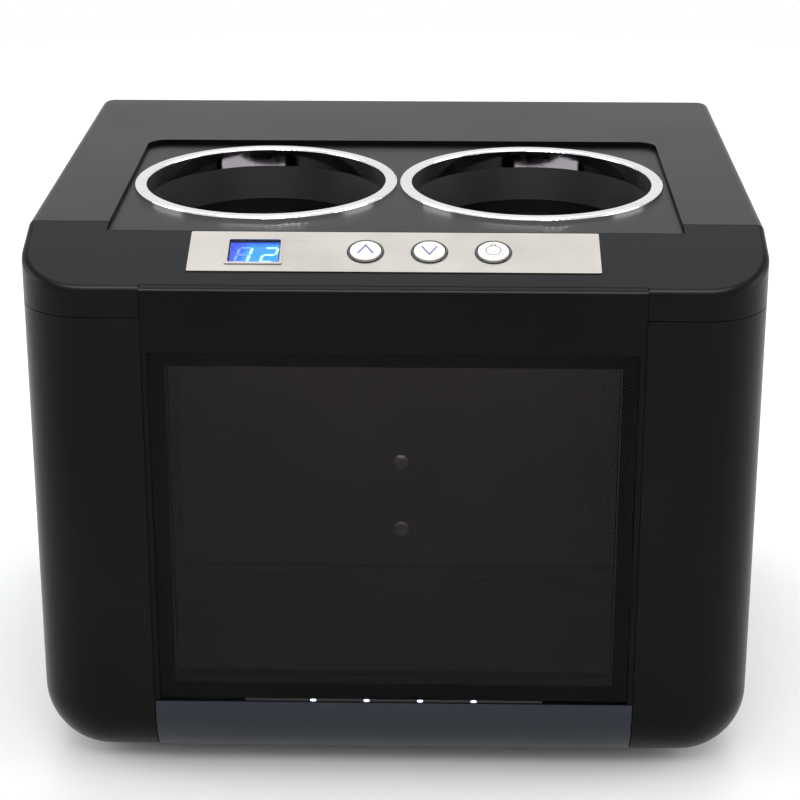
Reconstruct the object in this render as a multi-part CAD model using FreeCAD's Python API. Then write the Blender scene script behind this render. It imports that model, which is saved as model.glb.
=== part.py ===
import FreeCAD, Part
import math
import os
from FreeCAD import Placement, Rotation, Vector

# Two-bottle countertop wine cooler, thermoelectric, open wells in the top.
# Millimetres. Origin on the table under the middle of the case, +Z up, the window faces -Y.

# ---- driving dimensions ----
case_width = 290.0
case_depth = 245.0
case_height = 225.0           # table to top cover
foot_height = 4.0             # the case floats this far above the table
wall = 2.5                    # moulded skins
seam = 0.3                    # gap where two skins meet
fit = 0.3                     # gap round a piece that moves or drops into an opening
snug = 0.1                    # gap round a piece that stays where it is put
touch = 0.05                  # radial room of a screw in its hole
over = 1.0                    # how far a cut runs past the face it opens

corner_radius = 26.0          # front corners in plan and the lower front edge
bottom_radius = 28.0          # lower side edges
back_radius = 6.0             # rear corners
top_edge_radius = 3.0
brow_radius = 2.2             # top edge of the black front panel
skirt_height = 26.0           # how far the top mouldings come down the sides

slope_run = 41.0              # control slope, measured front to back
slope_angle = 19.0

panel_width = 193.0           # centre of the front, between the two pillars
panel_step = 1.0              # the centre stands this far proud of the pillars
window_drop = 40.0            # top cover to window
window_seam = 1.5             # lamp lens between trim and window
window_margin = 2.5           # pane edge to panel edge
pane = 3.0
pane_gap = 6.0
gasket_width = 6.0
pane_edge = 0.5               # rounding of the outer pane
flange = 2.5                  # what the panes bear on
flange_foot = 6.0             # that flange, below the trim's top
rail_step = 0.6               # rails sit this far behind the glass
trim_height = 31.0            # moulding under the window
trim_tuck = 4.5               # how far it runs on under the case, past the rounding

deck_side = 2.1               # recess beside the rings
deck_rear = 8.8               # and behind them
deck_drop = 2.0
deck_corner = 8.0
deck_lip = 4.0                # deck panel under the cover
deck_thick = 2.5

ring_radius = 50.0            # clear bore of the chrome ring
ring_flange = 5.2
ring_gap = 1.0                # between the two rings
ring_front = 6.8              # crease to ring
ring_height = 2.0
ring_sleeve = 1.3
ring_depth = 6.0              # sleeve below the deck's surface
ring_edge = 0.9
collar_radius = 44.0          # clear bore at the foot of the rubber funnel
collar_wall = 2.0
collar_flange = 3.8           # beyond the ring's sleeve, clamped under the deck
collar_drop = 13.0            # height of the funnel
collar_lip = 6.5              # straight neck below it
collar_thick = 2.5            # its flange

liner_width = 206.0           # clear width of the chamber
liner_back = 38.0
liner_floor = 18.0
liner_drop = 25.0             # top cover to the chamber's ceiling
liner_wall = 2.0
liner_corner = 4.0            # inside corners, seen from the front
foam_back = 16.0              # insulation behind the chamber
foam_top = 14.5               # and over it
foam_base = 9.0               # and under it
foam_well = 5.5               # foam stands this far off the ring's bore
foam_step = 4.0               # foam roof stops this far behind the deck's front
tray = 2.0
tray_dish = 0.8
tray_corner = 5.0
tray_room = 4.0               # tray to window flange
cold_wall = 1.5

plate_width = 159.0           # brushed control plate on the slope
plate_length = 25.5
plate_start = 7.0             # crease to plate, along the slope
plate_thick = 0.8
plate_proud = 0.4
plate_corner = 0.6
button_spacing = 24.7
button_first = -11.1
button_radius = 6.1
button_height = 1.3
button_travel = 0.8           # pressed, the stem still clears the switch's floor
button_edge = 0.5
button_flange = 1.4           # keeper under the housing
keeper_reach = 0.6            # keeper beyond the ring
stem_entry = 1.0              # stem in its switch, at rest
stem_radius = 1.5
ring_wall = 0.8               # black ring round each button
ring_proud = 1.0
ring_round = 0.4
display_x = -54.2
display_width = 20.0
display_length = 14.5
display_frame = 1.2
display_proud = 0.35
display_corner = 0.8
display_room = 0.2            # lens to plate
lens_thick = 1.2
board = 1.6
board_width = 164.0
board_length = 25.0
board_inset = 4.0             # screws in from the board's edges
post_radius = 2.8
small_screw = 1.2             # radius of the control board's screws
small_head = 2.4
small_head_height = 1.2
switch_size = 6.0
switch_height = 3.5

lamp_spacing = 21.6
lamp_count = 4
lamp_radius = 1.5
lamp_setback = 4.5            # lamps behind the front
lamp_height = 4.0             # foot of a lamp below the trim's top
lamp_strip = 120.0
lamp_lens_back = 7.0          # rear edge of their lens behind the front

module_z = 56.0               # centre of the cooling stack
cold_block = 50.0
module_size = 40.0
module_thick = 3.6
sink_size = 84.0
sink_base = 5.4
fin_height = 23.0
fin_thick = 1.5
fin_pitch = 5.5
clamp_x = 22.5                # clamp screws either side of the module
clamp_z = 14.0
clamp_length = 7.0            # of screw in the block
wall_screw_z = 17.0           # one screw above the module's centre and one below
wall_screw_length = 12.0
fan_size = 80.0
fan_thick = 25.0
fan_bore = 38.0
fan_corner = 4.0
fan_screw_spread = 36.0
fan_arm = 3.0                 # thickness of the struts that carry the motor
blade_count = 7
blade_pitch = 38.0
blade_tip_gap = 1.2
blade_thick = 2.0
blade_chord = 18.0
hub_radius = 17.0
hub_wall = 1.5
hub_front = 1.5               # hub behind the frame's face
hub_back = 5.0                # and ahead of its rear
bearing_radius = 4.0
bearing_length = 4.0          # beyond the struts
shaft_radius = 1.5
shaft_room = 0.05

cover_edge = 8.0              # shell that shows round the rear cover
cover_lip = 1.8               # rear cover behind that edge
cover_sink = 0.5              # rear cover below the shells' rear face
vent_width = 3.0
vent_pitch = 6.0
vent_bridge = 5.0             # bar up the middle of the fan's grille
vent_rows = 8                 # in each intake bank
vent_bank = (70.0, 110.0)
vent_drop = 57.0              # top cover to the highest slot

shell_screw_low = 30.0
shell_screw_drop = 19.0       # top screws below the skirt
shell_screw_inset = 9.0       # screws in from the rear cover's sides
shell_boss = 8.0              # square boss
shell_boss_length = 12.0

screw_radius = 1.5
head_radius = 3.0
head_height = 1.8
wall_head_radius = 3.5
foot_radius = 9.0
foot_edge = 1.0
foot_recess = 2.0
foot_x = 82.0
foot_front = -72.0
foot_back = 98.0
boss_radius = 5.0             # screw bosses inside the base
boss_height = 7.0

inlet_x = 104.0
inlet_z = 42.0
inlet_width = 22.0
inlet_height = 13.0
inlet_socket = 17.0
inlet_slot = 9.0
inlet_depth = 13.0
inlet_back = 3.0              # socket's end wall
inlet_rim = 3.0               # flange behind the cover
inlet_rim_thick = 2.0
pin_radius = 1.2
pin_short = 4.0               # pins end this far inside the socket's mouth
pin_spacing = 8.6

cable_edge = 1.0              # flat cable between the two boards, in from the foam's side
cable_width = 12.0
cable_thick = 0.8
cable_front_x = 60.0          # where it meets the control board
cable_rear_x = 40.0           # and the main board
cable_drop = 18.0             # below the main board's top
socket_height = 6.0

main_board_x = 60.0           # half width
main_board_y = 104.0
main_board_drop = 35.0        # top cover to board
main_board_height = 72.0
main_board_inset = 5.0
main_post_radius = 3.2
board_screw_length = 10.0
transformer_at = (-30.0, 28.0)    # across and above the main board's lower edge
transformer_size = 30.0
transformer_height = 22.0
transformer_corner = 2.0
capacitor_cans = ((6.0, 60.0, 8.0, 20.0), (26.0, 60.0, 8.0, 20.0), (-26.0, 60.0, 5.0, 12.0),
                  (50.0, 36.0, 5.0, 14.0))     # across, up, radius, length
capacitor_edge = 0.8
regulator_x = 0.0
regulator_z = 16.0
regulator_fins = 5
regulator_pitch = 8.0
regulator_height = 18.0
regulator_reach = 14.0

# ---- places worked out from them ----
front_y = -case_depth / 2
back_y = case_depth / 2
pillar_y = front_y + panel_step
case_bottom = foot_height
half_width = case_width / 2
crease_y = pillar_y + slope_run
window_top = case_height - window_drop
trim_top = case_bottom + trim_height
window_bottom = trim_top + window_seam
liner_top = case_height - liner_drop
main_board_high = case_height - main_board_drop
main_board_low = main_board_high - main_board_height
skirt_z = case_height - skirt_height
half_panel = panel_width / 2
half_window = half_panel - window_margin
inner_pane_y = front_y + pane + pane_gap
stack_y = inner_pane_y + pane          # back of the glazing
liner_front = stack_y + flange
half_liner = liner_width / 2
ring_rim = ring_radius + ring_flange
well_x = ring_rim + ring_gap / 2
well_y = crease_y + ring_front + ring_rim
deck_width = 2 * (well_x + ring_rim + deck_side)
deck_back = well_y + ring_rim + deck_rear
deck_z = case_height - deck_drop
deck_front = crease_y - deck_drop / math.tan(math.radians(slope_angle))
sleeve_end = deck_z - ring_depth
bar_back = front_y + pane + snug
trim_back = front_y + corner_radius + trim_tuck
plate_y = -plate_start - plate_length / 2
foam_rear = liner_back + liner_wall + foam_back
foam_roof_y = deck_front + foam_step
module_y = foam_rear
sink_y = module_y + module_thick
fan_y = sink_y + sink_base + fin_height
fan_end = fan_y + fan_thick
cover_y = back_y - wall                # inner face of the skins at the back
rear_flange_y = cover_y - wall
cover_x = half_width - cover_edge
cover_bottom = case_bottom + cover_edge
button_xs = [button_first + i * button_spacing for i in range(3)]
lamp_xs = [(i - (lamp_count - 1) / 2) * lamp_spacing for i in range(lamp_count)]
feet = [(x, y) for x in (-foot_x, foot_x) for y in (foot_front, foot_back)]


def four(x, z, centre_x=0.0, centre_z=0.0):
    return [(centre_x + i * x, centre_z + j * z) for i in (-1, 1) for j in (-1, 1)]


wall_screws = [(0.0, module_z + wall_screw_z), (0.0, module_z - wall_screw_z)]
clamp_screws = four(clamp_x, clamp_z, 0, module_z)
fan_screws = four(fan_screw_spread, fan_screw_spread, 0, module_z)
shell_screw_x = cover_x - shell_screw_inset
shell_screw_high = skirt_z - shell_screw_drop
shell_screw_z = (shell_screw_low, (shell_screw_low + shell_screw_high) / 2, shell_screw_high)
cable_x = half_width - wall - fit - cable_edge - cable_width
shell_screws = [(side * shell_screw_x, z) for side in (-1, 1) for z in shell_screw_z]
main_posts = four(main_board_x - main_board_inset, (main_board_high - main_board_low) / 2 - main_board_inset,
                  0, (main_board_high + main_board_low) / 2)
board_depth = wall + fit + button_flange + button_travel + fit + switch_height
control_posts = four(board_width / 2 - board_inset, board_length / 2 - board_inset, 0, plate_y)
ring_outer = button_radius + fit + ring_wall


# ---- helpers ----
def block(x0, x1, y0, y1, z0, z1):
    return Part.makeBox(x1 - x0, y1 - y0, z1 - z0, Vector(x0, y0, z0))


def upright(x, y, z0, z1, radius):
    return Part.makeCylinder(radius, z1 - z0, Vector(x, y, z0))


def along_y(x, z, y0, y1, radius):
    return Part.makeCylinder(radius, y1 - y0, Vector(x, y0, z), Vector(0, 1, 0))


def mid(edge):
    return edge.valueAt((edge.FirstParameter + edge.LastParameter) / 2)


def rounded(shape, radius, test):
    edges = [edge for edge in shape.Edges if test(mid(edge), edge)]
    return shape.makeFillet(radius, edges)


def on_level(value, level):
    return abs(value - level) < 1e-6


def runs_along(edge, axis):
    line = edge.valueAt(edge.LastParameter) - edge.valueAt(edge.FirstParameter)
    return abs(abs(line.dot(axis)) - edge.Length) < 1e-6


def soft_block(x0, x1, y0, y1, z0, z1, radius, axis):
    shape = block(x0, x1, y0, y1, z0, z1)
    return rounded(shape, radius, lambda point, edge: runs_along(edge, axis))


def turned(points, x, y):
    # closed outline of (radius, height) turned about a vertical line
    corners = [Vector(radius, 0, height) for radius, height in points]
    face = Part.Face(Part.makePolygon(corners + corners[:1]))
    shape = face.revolve(Vector(0, 0, 0), Vector(0, 0, 1), 360)
    shape.translate(Vector(x, y, 0))
    return shape


def on_slope(shape):
    # from the slope's own frame (origin at the crease, z out of the slope) to the case
    moved = shape.copy()
    moved.Placement = Placement(Vector(0, crease_y, case_height), Rotation(Vector(1, 0, 0), slope_angle))
    return moved


def fused(shapes):
    return shapes[0].multiFuse(shapes[1:]).removeSplitter() if len(shapes) > 1 else shapes[0]


def save(name, shape):
    shape.exportStep("parts/" + name + ".step")
    print(name, len(shape.Solids), round(shape.Volume), shape.isValid())


# ---- the case's outline ----
def case_form(inset, front):
    # outside of the case as one rounded block, or the same block inset by a wall
    low = case_bottom + inset
    side = half_width - inset
    face = front + inset
    shape = block(-side, side, face, back_y - inset, low, case_height - inset)

    def lower_side(point, edge):
        return on_level(point.z, low) and on_level(abs(point.x), side)

    def rear_corner(point, edge):
        return on_level(point.y, back_y - inset) and on_level(abs(point.x), side) and point.z > low + over

    def front_loop(point, edge):
        return on_level(point.y, face) and not on_level(point.z, case_height - inset)

    shape = rounded(shape, bottom_radius - inset, lower_side)
    shape = rounded(shape, corner_radius - inset, front_loop)
    return rounded(shape, max(back_radius - inset, 1.0), rear_corner)


def above_slope(inset):
    return on_slope(block(-case_width, case_width, -case_depth, case_depth, -inset, case_depth))


def top_form(inset):
    # the same outline with the control slope cut off its front
    shape = case_form(inset, pillar_y).cut(above_slope(inset))
    if inset:
        return shape

    def top_edge(point, edge):
        run = crease_y - point.y
        slope_z = case_height - run * math.tan(math.radians(slope_angle))
        if abs(run) < over:
            return False
        return on_level(point.z, case_height if run < 0 else slope_z)

    return rounded(shape, top_edge_radius, top_edge)


def deck_opening(grow, low):
    # plan of the recess, square where it runs out through the slope
    side = deck_width / 2 + grow
    shape = block(-side, side, deck_front - grow, deck_back + grow, low, case_height + over)

    def rear(point, edge):
        return runs_along(edge, Vector(0, 0, 1)) and point.y > 0

    return rounded(shape, deck_corner + grow, rear)


# ---- outer skins ----
def lower_skin(front):
    return case_form(0, front).cut(case_form(wall, front))


def side_shell(side):
    # wraps from the front seam round the corner to a lip round the rear cover
    xs = sorted((side * (half_panel + seam), side * (half_width + over)))
    keep = block(xs[0], xs[1], front_y - over, back_y + over, 0, skirt_z - seam / 2)
    shape = lower_skin(pillar_y).common(keep)
    shape = shape.cut(cover_plate(0, cover_y - over, back_y + over))
    half = shell_boss / 2
    start = rear_flange_y - shell_boss_length
    ends = sorted((side * (shell_screw_x - half), side * (half_width - wall / 2)))
    shape = fused([shape] + [block(ends[0], ends[1], start, rear_flange_y, z - half, z + half)
                             for z in shell_screw_z])
    for x, z in shell_screws:
        shape = shape.cut(along_y(x, z, start - over, rear_flange_y + over, screw_radius + touch))
    return shape


def base_pan():
    keep = block(-half_panel, half_panel, trim_back + seam, back_y + over, 0, cover_bottom)
    shape = lower_skin(pillar_y).common(keep)
    bosses = [upright(x, y, case_bottom, case_bottom + boss_height, boss_radius) for x, y in feet]
    shape = fused([shape] + bosses)
    for x, y in feet:
        shape = shape.cut(upright(x, y, 0, case_bottom + boss_height + over, screw_radius + touch))
    return shape


def lower_trim():
    # moulding under the window, rolled under the front of the case
    half = half_panel - seam
    shape = lower_skin(front_y).common(block(-half, half, front_y - over, trim_back, 0, trim_top))
    shelf = block(-half, half, front_y + wall / 2, stack_y - seam, trim_top - wall, trim_top)
    shape = fused([shape, shelf])
    for x in lamp_xs:
        hole = upright(x, front_y + lamp_setback, trim_top - wall - over, trim_top + over, lamp_radius + fit)
        shape = shape.cut(hole)
    return shape


def cover_plate(grow, y0, y1):
    # outline of the rear opening, its lower corners following the case's
    side = cover_x + grow
    shape = block(-side, side, y0, y1, cover_bottom - grow, case_height)

    def lower_corner(point, edge):
        return runs_along(edge, Vector(0, 1, 0)) and point.z < case_height / 2

    return rounded(shape, bottom_radius - cover_edge + grow, lower_corner)


def rear_cover():
    # raised panel in the opening, lipped behind it, with posts for the main board
    below = block(-case_width, case_width, 0, case_depth, 0, skirt_z - seam)
    face = back_y - cover_sink
    raised = cover_plate(-seam, cover_y - snug, face).common(below)
    inner = cover_plate(cover_lip, rear_flange_y, cover_y).common(below)
    posts = [along_y(x, z, main_board_y + board, rear_flange_y + snug, main_post_radius)
             for x, z in main_posts]
    shape = fused([raised, inner] + posts)
    for x, z in shell_screws:
        shape = shape.cut(along_y(x, z, rear_flange_y - over, back_y, screw_radius + touch))
        shape = shape.cut(along_y(x, z, face - head_height - snug, back_y, head_radius + fit))
    for x, z in main_posts:
        shape = shape.cut(along_y(x, z, main_board_y, main_board_y + board_screw_length + over,
                                  screw_radius + touch))
    hole = block(inlet_x - inlet_width / 2, inlet_x + inlet_width / 2, rear_flange_y - over, back_y + over,
                 inlet_z - inlet_height / 2, inlet_z + inlet_height / 2)
    return shape.cut(hole).cut(vents())


def vents():
    # level slots behind the fan, as wide as its round bore allows, and two intake banks
    slots = []
    bar = vent_bridge / 2
    rows = int(fan_bore / vent_pitch)
    for row in range(-rows, rows + 1):
        rise = row * vent_pitch
        reach = math.sqrt(fan_bore ** 2 - rise ** 2)
        if reach > bar + 2 * vent_width:
            slots.append(vent_slot(-reach, -bar, module_z + rise))
            slots.append(vent_slot(bar, reach, module_z + rise))
    for row in range(vent_rows):
        z = case_height - vent_drop - row * vent_pitch
        slots.append(vent_slot(-vent_bank[1], -vent_bank[0], z))
        slots.append(vent_slot(vent_bank[0], vent_bank[1], z))
    return fused(slots)


def vent_slot(x0, x1, z):
    half = vent_width / 2
    return soft_block(x0, x1, rear_flange_y - over, back_y + over, z - half, z + half, half - touch,
                      Vector(0, 1, 0))


def top_skin():
    low = block(-case_width, case_width, -case_depth, case_depth, 0, skirt_z + seam / 2)
    return top_form(0).cut(top_form(wall)).cut(low)


def top_cover():
    # flat surround behind the crease, open over the deck panel
    behind = block(-case_width, case_width, crease_y + seam / 2, case_depth, 0, case_height + over)
    return top_skin().common(behind).cut(deck_opening(0, 0))


def control_housing():
    # slope, rounded front corners and the skirt over each pillar
    ahead = block(-case_width, case_width, -case_depth, crease_y - seam / 2, 0, case_height + over)
    shape = top_skin().common(ahead).cut(deck_opening(seam / 2, 0))
    side = half_panel + seam
    shape = shape.cut(block(-side, side, front_y - over, bar_back + seam, 0, case_height))
    posts = [on_slope(upright(x, y, -board_depth, snug - wall, post_radius)) for x, y in control_posts]
    shape = fused([shape] + posts)
    for cut in (plate_bed(), display_hole()):
        shape = shape.cut(on_slope(cut))
    for x in button_xs:
        shape = shape.cut(on_slope(upright(x, plate_y, -wall - over, over, ring_outer + snug)))
    for x, y in control_posts:
        hole = upright(x, y, -board_depth - over, -wall, small_screw + touch)
        shape = shape.cut(on_slope(hole))
    return shape


def plate_bed():
    half = plate_width / 2 + snug
    reach = plate_length / 2 + snug
    return block(-half, half, plate_y - reach, plate_y + reach, plate_proud - plate_thick, over)


def display_hole():
    grow = 2 * display_room
    return display_block(display_width + grow, display_length + grow, -wall - over, over)


def deck_panel():
    # floor of the recess, lipped under the cover and holding both wells
    low = case_height - wall - deck_thick
    wide = case_width
    floor = deck_opening(-seam / 2, low).common(block(-wide, wide, -wide, wide, low, deck_z))
    behind = block(-wide, wide, crease_y + seam, wide, low, case_height - wall)
    shape = fused([floor, deck_opening(deck_lip, low).common(behind)])
    for side in (-1, 1):
        shape = shape.cut(upright(side * well_x, well_y, 0, case_height, ring_radius + ring_sleeve + fit))
    return shape


# ---- wells ----
def chrome_ring(side):
    bore = ring_radius
    outer = ring_rim
    sleeve = bore + ring_sleeve
    top = deck_z + ring_height
    shape = turned([(bore, sleeve_end), (sleeve, sleeve_end), (sleeve, deck_z), (outer, deck_z),
                    (outer, top), (bore, top)], side * well_x, well_y)
    return rounded(shape, ring_edge, lambda point, edge: on_level(point.z, top) and edge.Length > bore)


def collar(side):
    # rubber funnel held under the deck, its neck through the chamber's ceiling
    sleeve = ring_radius + ring_sleeve + snug
    seat = case_height - wall - deck_thick
    top = sleeve_end - snug
    foot = top - collar_drop
    end = foot - collar_lip
    bore = collar_radius
    outer = bore + collar_wall
    rim = sleeve + collar_flange
    points = [(sleeve, seat), (rim, seat), (rim, seat - collar_thick), (sleeve + collar_wall, top - touch),
              (outer, foot), (outer, end), (bore, end), (bore, foot), (ring_radius, top), (sleeve, top)]
    return turned(points, side * well_x, well_y)


# ---- controls on the slope ----
def display_block(width, length, low, high):
    side = width / 2
    reach = length / 2
    return soft_block(display_x - side, display_x + side, plate_y - reach, plate_y + reach, low, high,
                      display_corner, Vector(0, 0, 1))


def control_plate():
    half = plate_width / 2
    shape = soft_block(-half, half, plate_y - plate_length / 2, plate_y + plate_length / 2,
                       plate_proud - plate_thick, plate_proud, plate_corner, Vector(0, 0, 1))
    for x in button_xs:
        shape = shape.cut(upright(x, plate_y, -over, over, ring_outer + snug))
    return on_slope(shape.cut(display_hole()))


def button_rings():
    rings = []
    for x in button_xs:
        ring = upright(x, plate_y, -wall, ring_proud, ring_outer)
        ring = rounded(ring, ring_round, lambda point, edge: on_level(point.z, ring_proud))
        bore = upright(x, plate_y, -wall - over, ring_proud + over, button_radius + fit)
        rings.append(on_slope(ring.cut(bore)))
    return Part.makeCompound(rings)


def button(x):
    # cap with a domed face, a keeper flange under the housing and a stem into its switch
    foot = -wall - fit - button_flange
    cap = upright(x, plate_y, foot, button_height, button_radius)
    cap = rounded(cap, button_edge, lambda point, edge: on_level(point.z, button_height))
    keeper = upright(x, plate_y, foot, -wall - fit, ring_outer + keeper_reach)
    stem = upright(x, plate_y, switch_height - board_depth - stem_entry, -wall, stem_radius)
    return on_slope(fused([cap, keeper, stem]))


def tact_switches():
    switches = []
    half = switch_size / 2
    for x in button_xs:
        top = switch_height - board_depth
        body = block(x - half, x + half, plate_y - half, plate_y + half, -board_depth, top)
        floor = top - stem_entry - button_travel - fit
        switches.append(on_slope(body.cut(upright(x, plate_y, floor, top + over, stem_radius + fit))))
    return Part.makeCompound(switches)


def display_bezel():
    outer = display_block(display_width + 2 * display_frame, display_length + 2 * display_frame,
                          plate_proud, plate_proud + display_proud)
    return on_slope(outer.cut(display_block(display_width, display_length, -over, over)))


def display_lens():
    return on_slope(display_block(display_width, display_length, plate_proud - lens_thick, plate_proud))


def digit_module():
    high = plate_proud - lens_thick - snug
    return on_slope(display_block(display_width - over, display_length - over, -board_depth, high))


def control_board():
    shape = block(-board_width / 2, board_width / 2, plate_y - board_length / 2, plate_y + board_length / 2,
                  -board_depth - board, -board_depth)
    for x, y in control_posts:
        shape = shape.cut(upright(x, y, -board_depth - board - over, 0, small_screw + touch))
    return on_slope(shape)


def control_board_screws():
    screws = []
    low = -board_depth - board
    for x, y in control_posts:
        head = upright(x, y, low - small_head_height, low, small_head)
        shank = upright(x, y, low, -wall - over, small_screw)
        screws.append(on_slope(fused([head, shank])))
    return Part.makeCompound(screws)


# ---- front: frame and double window ----
def front_bezel():
    # top bar flush with the slope, side rails and the flange behind the panes
    low = window_top + snug
    bar = block(-half_panel, half_panel, front_y, bar_back, low, case_height).cut(above_slope(0))

    def brow(point, edge):
        return on_level(point.y, front_y) and point.z > low + over and runs_along(edge, Vector(1, 0, 0))

    bar = rounded(bar, brow_radius, brow)
    rails = []
    for side in (-1, 1):
        xs = sorted((side * (half_window + fit), side * half_panel))
        rails.append(block(xs[0], xs[1], front_y + rail_step, stack_y, trim_top + snug, low + over))
    shelf = block(-half_panel, half_panel, front_y + over, liner_front, low, low + wall)
    ring = block(-half_panel, half_panel, stack_y, liner_front, trim_top - flange_foot, skirt_z)
    half = half_window - gasket_width
    hole = block(-half, half, stack_y - over, liner_front + over, window_bottom + gasket_width,
                 window_top - gasket_width)
    return fused([bar] + rails + [ring.cut(hole), shelf])


def window_pane(y, inset):
    half = half_window - inset
    shape = block(-half, half, y, y + pane, window_bottom + inset, window_top - inset)
    return shape if inset else rounded(shape, pane_edge, lambda point, edge: on_level(point.y, y))


def window_gasket():
    y = front_y + pane
    outer = block(-half_window, half_window, y, y + pane_gap, window_bottom, window_top)
    half = half_window - gasket_width
    hole = block(-half, half, y - over, y + pane_gap + over, window_bottom + gasket_width,
                 window_top - gasket_width)
    return outer.cut(hole)


def led_lens():
    return block(-lamp_strip / 2, lamp_strip / 2, front_y + rail_step, front_y + lamp_lens_back, trim_top,
                 window_bottom)


def led_lamps():
    lamps = []
    for x in lamp_xs:
        y = front_y + lamp_setback
        crown = trim_top - lamp_radius - snug
        body = upright(x, y, trim_top - lamp_height, crown, lamp_radius)
        dome = Part.makeSphere(lamp_radius, Vector(x, y, crown))
        lamps.append(fused([body, dome]))
    return Part.makeCompound(lamps)


def led_board():
    top = trim_top - lamp_height
    return block(-lamp_strip / 2, lamp_strip / 2, front_y + wall + fit, stack_y - over, top - board, top)


# ---- chamber ----
def liner_shape(inset, y0, y1):
    # the liner's outside, or its clear chamber when inset by its wall
    half = half_liner + liner_wall - inset
    low = liner_floor - liner_wall + inset
    high = liner_top + liner_wall - inset
    return soft_block(-half, half, y0, y1, low, high, liner_corner + liner_wall - inset, Vector(0, 1, 0))


def block_way(y0, y1):
    # passage for the cooling block through liner and foam
    half = cold_block / 2 + snug
    return block(-half, half, y0, y1, module_z - half, module_z + half)


def inner_liner():
    end = liner_back + liner_wall
    shape = liner_shape(0, liner_front, end).cut(liner_shape(liner_wall, liner_front - over, liner_back))
    neck = collar_radius + collar_wall + snug
    top = liner_top + liner_wall
    for side in (-1, 1):
        shape = shape.cut(upright(side * well_x, well_y, liner_top - over, top + over, neck))
    return shape.cut(block_way(liner_back - over, end + over))


def insulation():
    # foam between the liner and the skins, open behind the cooling block
    roof = liner_top + liner_wall
    base = liner_floor - liner_wall - foam_base
    shape = case_form(wall + fit, pillar_y)
    shape = shape.common(block(-case_width, case_width, liner_front, foam_rear, base, roof + foam_top))
    shape = shape.cut(block(-case_width, case_width, -case_depth, foam_roof_y, roof, case_height))
    shape = shape.cut(liner_shape(0, liner_front - over, liner_back + liner_wall))
    for x, y in feet:
        shape = shape.cut(upright(x, y, 0, case_bottom + boss_height + fit, boss_radius + fit))
    for side in (-1, 1):
        shape = shape.cut(upright(side * well_x, well_y, liner_top, case_height, ring_radius + foam_well))
    return shape.cut(block_way(liner_back, foam_rear + over))


def floor_tray():
    # lift-out tray with a shallow dish for each bottle
    half = half_liner - liner_corner - seam
    top = liner_floor + tray
    shape = soft_block(-half, half, liner_front + tray_room, liner_back - tray_room, liner_floor, top,
                       tray_corner, Vector(0, 0, 1))
    for side in (-1, 1):
        shape = shape.cut(upright(side * well_x, well_y, top - tray_dish, top + over, collar_radius))
    return shape


def cold_wall_sheet():
    face = liner_back - cold_wall
    half = half_liner - seam
    shape = soft_block(-half, half, face, liner_back, liner_floor + tray + seam, liner_top - seam,
                       liner_corner, Vector(0, 1, 0))
    for x, z in wall_screws:
        shape = shape.cut(along_y(x, z, face - over, liner_back + over, screw_radius + touch))
    return shape


def cold_wall_screws():
    face = liner_back - cold_wall
    screws = []
    for x, z in wall_screws:
        head = along_y(x, z, face - head_height, face, wall_head_radius)
        head = rounded(head, head_height / 2, lambda point, edge: on_level(point.y, face - head_height))
        screws.append(fused([head, along_y(x, z, face, face + wall_screw_length, screw_radius)]))
    return Part.makeCompound(screws)


# ---- cooling stack ----
def cooling_block():
    half = cold_block / 2
    shape = block(-half, half, liner_back, module_y, module_z - half, module_z + half)
    hole = screw_radius + touch
    for x, z in wall_screws:
        shape = shape.cut(along_y(x, z, liner_back - over, liner_back + wall_screw_length, hole))
    for x, z in clamp_screws:
        shape = shape.cut(along_y(x, z, module_y - clamp_length - over, module_y + over, hole))
    return shape


def peltier_module():
    half = module_size / 2
    return block(-half, half, module_y, sink_y, module_z - half, module_z + half)


def hot_sink():
    # base plate and upright fins, cut away over the clamp screws
    half = sink_size / 2
    low = module_z - half
    high = module_z + half
    fin_y = sink_y + sink_base
    pieces = [block(-half, half, sink_y, fin_y, low, high)]
    count = int((sink_size - fin_thick) / fin_pitch)
    for i in range(count + 1):
        x = (i - count / 2) * fin_pitch - fin_thick / 2
        pieces.append(block(x, x + fin_thick, fin_y - snug, fan_y, low, high))
    shape = fused(pieces)
    for x, z in clamp_screws:
        shape = shape.cut(along_y(x, z, sink_y - over, fin_y + over, screw_radius + touch))
        shape = shape.cut(along_y(x, z, fin_y, fan_y + over, head_radius + fit))
    return shape


def clamp_screw_set():
    seat = sink_y + sink_base
    return headed_screws(clamp_screws, seat, module_y - clamp_length, seat + head_height)


def headed_screws(places, seat, tip, end):
    # screws along Y, their heads from the seat to the end, their shanks back to the tip
    screws = []
    for x, z in places:
        head = along_y(x, z, min(seat, end), max(seat, end), head_radius)
        shank = along_y(x, z, min(seat, tip), max(seat, tip), screw_radius)
        screws.append(fused([head, shank]))
    return Part.makeCompound(screws)


def fan_frame():
    # square frame with a round duct, four struts and the bearing
    half = fan_size / 2
    shape = soft_block(-half, half, fan_y, fan_end, module_z - half, module_z + half, fan_corner,
                       Vector(0, 1, 0))
    shape = shape.cut(along_y(0, module_z, fan_y - over, fan_end + over, fan_bore))
    start = fan_end - fan_arm
    pieces = [shape, along_y(0, module_z, start, fan_end, hub_radius)]
    for turn in range(4):
        arm = block(hub_radius - over, fan_bore + over, start, fan_end, module_z - fan_arm / 2,
                    module_z + fan_arm / 2)
        arm.rotate(Vector(0, 0, module_z), Vector(0, 1, 0), 45 + 90 * turn)
        pieces.append(arm)
    pieces.append(along_y(0, module_z, start - bearing_length, start + over, bearing_radius))
    shape = fused(pieces)
    shape = shape.cut(along_y(0, module_z, start - bearing_length - over, fan_end - over,
                              shaft_radius + shaft_room))
    for x, z in fan_screws:
        shape = shape.cut(along_y(x, z, fan_y - over, fan_end + over, screw_radius + touch))
    return shape


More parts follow.
